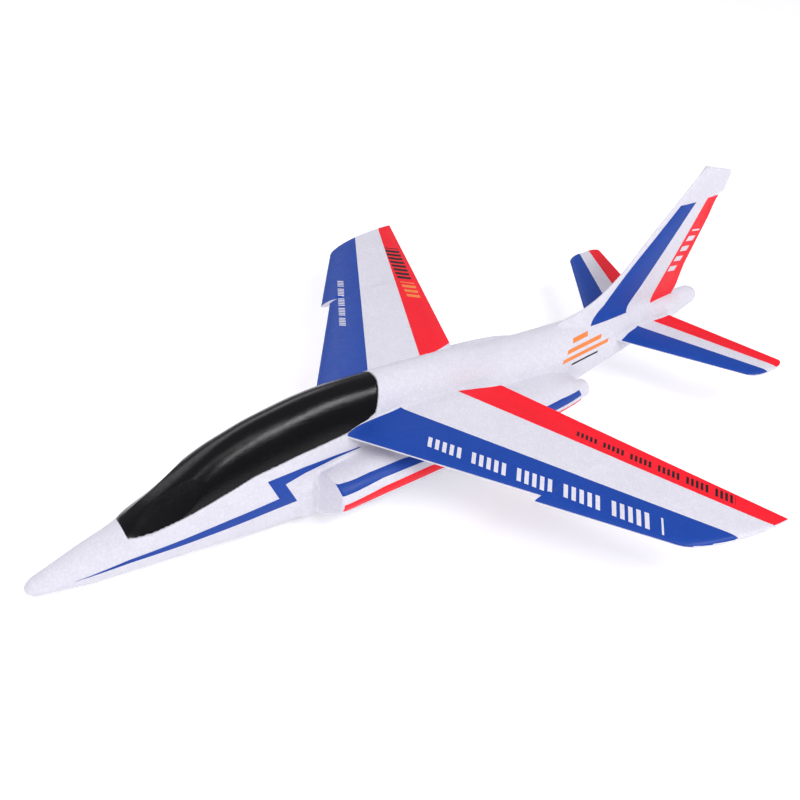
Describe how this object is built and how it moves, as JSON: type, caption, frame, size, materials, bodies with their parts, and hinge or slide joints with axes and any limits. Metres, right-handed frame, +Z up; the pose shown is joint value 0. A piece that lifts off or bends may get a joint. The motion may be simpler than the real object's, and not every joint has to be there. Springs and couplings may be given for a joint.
{
  "type": "foam jet glider",
  "caption": "Hand-launch foam jet glider with a lift-off canopy, plug-in swept wings and tailplanes, side nacelles and a swept fin.",
  "frame": {"origin": "on the surface the glider stands on, under the middle of its length and span", "axes": "+Y from the nose to the tail, +X towards the left wing, +Z up"},
  "size_m": [0.456, 0.576, 0.1685],
  "materials": {
    "foam_white": "satin",
    "canopy_black": "gloss",
    "carbon_rod": "satin",
    "steel": "satin",
    "black_plastic": "satin",
    "decal_blue": "satin",
    "decal_red": "satin"
  },
  "bodies": {
    "airframe": {"fuselage_left_half": "foam_white", "fuselage_right_half": "foam_white", "vertical_fin": "foam_white", "nacelle_left": "foam_white", "nacelle_right": "foam_white", "wing_joiner_rod": "carbon_rod", "tail_joiner_rod": "carbon_rod", "ballast_weight": "steel", "fuselage_magnet": "steel"},
    "canopy": {"canopy_hatch": "canopy_black", "canopy_magnet": "steel", "canopy_locating_pin": "black_plastic"},
    "left_wing": {"wing_left": "foam_white"},
    "right_wing": {"wing_right": "foam_white"},
    "left_tailplane": {"tailplane_left": "foam_white"},
    "right_tailplane": {"tailplane_right": "foam_white"}
  },
  "joints": [
    {"name": "canopy_lift", "type": "slide", "parent": "airframe", "child": "canopy", "axis": [0, 0, 1], "range_m": [0, 0.06]},
    {"name": "left_wing_unplug", "type": "slide", "parent": "airframe", "child": "left_wing", "axis": [0.9992, 0, -0.0401], "range_m": [0, 0.11]},
    {"name": "right_wing_unplug", "type": "slide", "parent": "airframe", "child": "right_wing", "axis": [-0.9992, 0, -0.0401], "range_m": [0, 0.11]},
    {"name": "left_tailplane_unplug", "type": "slide", "parent": "airframe", "child": "left_tailplane", "axis": [0.9983, 0, -0.0576], "range_m": [0, 0.055]},
    {"name": "right_tailplane_unplug", "type": "slide", "parent": "airframe", "child": "right_tailplane", "axis": [-0.9983, 0, -0.0576], "range_m": [0, 0.055]}
  ]
}
